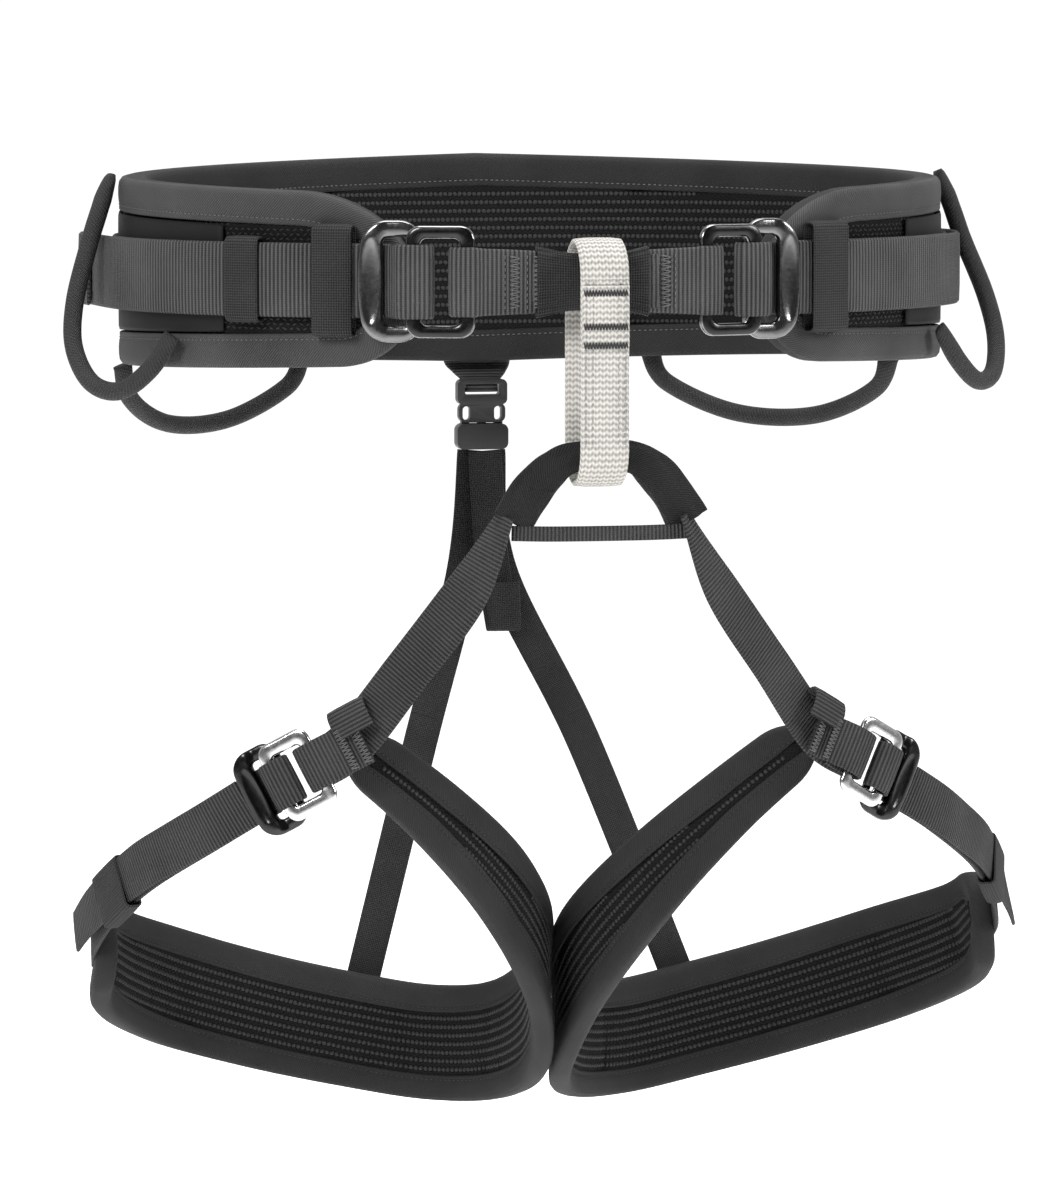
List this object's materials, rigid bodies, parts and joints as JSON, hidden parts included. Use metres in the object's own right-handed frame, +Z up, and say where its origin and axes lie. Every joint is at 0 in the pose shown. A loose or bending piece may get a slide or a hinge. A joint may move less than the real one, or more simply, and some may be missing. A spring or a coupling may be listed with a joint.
{
  "type": "climbing harness",
  "caption": "Climbing sit harness with padded waist belt, adjustable leg loops, belay loop, gear loops, elastic risers and double-back buckles on waist and legs.",
  "frame": {"origin": "middle of the waist opening at mid height of the waist belt", "axes": "+Z up along the wearer's spine, -Y to the front where the belay loop is, +X to the viewer's right when facing the front"},
  "size_m": [0.4123, 0.2771, 0.4092],
  "materials": {
    "padding": "matte knit over foam",
    "mesh": "spacer mesh",
    "binding": "twill tape",
    "webbing": "ribbed woven webbing",
    "elastic": "woven elastic",
    "patch": "smooth coated cloth",
    "belay": "woven webbing",
    "plate": "polished",
    "frame": "dark polished",
    "plastic": "fine texture",
    "cord": "woven sheath"
  },
  "bodies": {
    "waist_belt": {"belt_foam": "padding", "belt_lining": "mesh", "belt_outer_panel": "mesh", "belt_binding": "binding", "right_side_patch": "patch", "left_side_patch": "patch", "waist_webbing": "webbing", "right_waist_tail": "webbing", "left_waist_tail": "webbing", "right_keeper": "elastic", "left_front_keeper": "elastic", "left_rear_keeper": "elastic", "tie_in_strap": "webbing", "tie_in_sleeve": "webbing", "right_waist_buckle_plate": "plate", "left_waist_buckle_plate": "plate", "rear_tab": "webbing", "rear_buckle_plug": "plastic", "right_upper_riser": "elastic", "left_upper_riser": "elastic"},
    "leg_loops": {"right_lower_riser": "elastic", "left_lower_riser": "elastic", "right_leg_pad": "padding", "left_leg_pad": "padding", "right_leg_binding": "binding", "left_leg_binding": "binding", "right_leg_front_webbing": "webbing", "left_leg_front_webbing": "webbing", "right_leg_plate_loop": "webbing", "left_leg_plate_loop": "webbing", "right_leg_buckle_plate": "plate", "left_leg_buckle_plate": "plate", "right_leg_adjust_webbing": "webbing", "left_leg_adjust_webbing": "webbing", "right_leg_strap_tail": "webbing", "left_leg_strap_tail": "webbing", "right_leg_keeper": "elastic", "left_leg_keeper": "elastic", "leg_bridge": "webbing", "leg_bridge_band": "elastic"},
    "belay": {"belay_loop": "belay"},
    "right_front_gear": {"right_front_gear_loop": "cord"},
    "left_front_gear": {"left_front_gear_loop": "cord"},
    "right_rear_gear": {"right_rear_gear_loop": "cord"},
    "left_rear_gear": {"left_rear_gear_loop": "cord"},
    "right_waist_frame": {"right_waist_buckle_frame": "frame"},
    "left_waist_frame": {"left_waist_buckle_frame": "frame"},
    "right_leg_frame": {"right_leg_buckle_frame": "frame"},
    "left_leg_frame": {"left_leg_buckle_frame": "frame"},
    "rear_socket": {"rear_buckle_socket": "plastic", "riser_tail": "elastic"}
  },
  "joints": [
    {"name": "leg_loops_swing", "type": "hinge", "parent": "waist_belt", "child": "leg_loops", "pos_m": [0, -0.134, 0], "axis": [1, 0, 0], "range_deg": [-12, 25], "stiffness_Nm_per_rad": 2, "deforming": ["right_lower_riser", "left_lower_riser"]},
    {"name": "belay_swing", "type": "hinge", "parent": "waist_belt", "child": "belay", "pos_m": [0, -0.134, 0], "axis": [1, 0, 0], "range_deg": [-12, 25]},
    {"name": "right_front_gear_lift", "type": "hinge", "parent": "waist_belt", "child": "right_front_gear", "pos_m": [0.1703, -0.025, 0.007], "axis": [-0.186, -0.6948, -0.6948], "range_deg": [0, 40]},
    {"name": "right_rear_gear_lift", "type": "hinge", "parent": "waist_belt", "child": "right_rear_gear", "pos_m": [0.12227, 0.07994, -0.04117], "axis": [0.7842, -0.6205, 0], "range_deg": [0, 55]},
    {"name": "right_waist_frame_tilt", "type": "hinge", "parent": "waist_belt", "child": "right_waist_frame", "pos_m": [0.06735, -0.12438, 0], "axis": [0, 0, -1], "range_deg": [0, 35]},
    {"name": "right_leg_frame_tilt", "type": "hinge", "parent": "leg_loops", "child": "right_leg_frame", "pos_m": [0.12863, -0.10188, -0.2052], "axis": [-0.4216, -0.2256, -0.8783], "range_deg": [0, 35]},
    {"name": "left_front_gear_lift", "type": "hinge", "parent": "waist_belt", "child": "left_front_gear", "pos_m": [-0.1703, -0.025, 0.007], "axis": [-0.186, 0.6948, 0.6948], "range_deg": [0, 40]},
    {"name": "left_rear_gear_lift", "type": "hinge", "parent": "waist_belt", "child": "left_rear_gear", "pos_m": [-0.12227, 0.07994, -0.04117], "axis": [0.7842, 0.6205, 0], "range_deg": [0, 55]},
    {"name": "left_waist_frame_tilt", "type": "hinge", "parent": "waist_belt", "child": "left_waist_frame", "pos_m": [-0.0776, -0.1212, 0], "axis": [0, 0, 1], "range_deg": [0, 35]},
    {"name": "left_leg_frame_tilt", "type": "hinge", "parent": "leg_loops", "child": "left_leg_frame", "pos_m": [-0.12863, -0.10188, -0.2052], "axis": [-0.4216, 0.2256, 0.8783], "range_deg": [0, 35]},
    {"name": "rear_buckle_release", "type": "slide", "parent": "waist_belt", "child": "rear_socket", "axis": [0, 0, -1], "range_m": [0, 0.022], "deforming": ["right_upper_riser", "left_upper_riser"]}
  ],
  "couplings": [
    {"joint": "belay_swing", "follows": "leg_loops_swing", "ratio": 1}
  ]
}
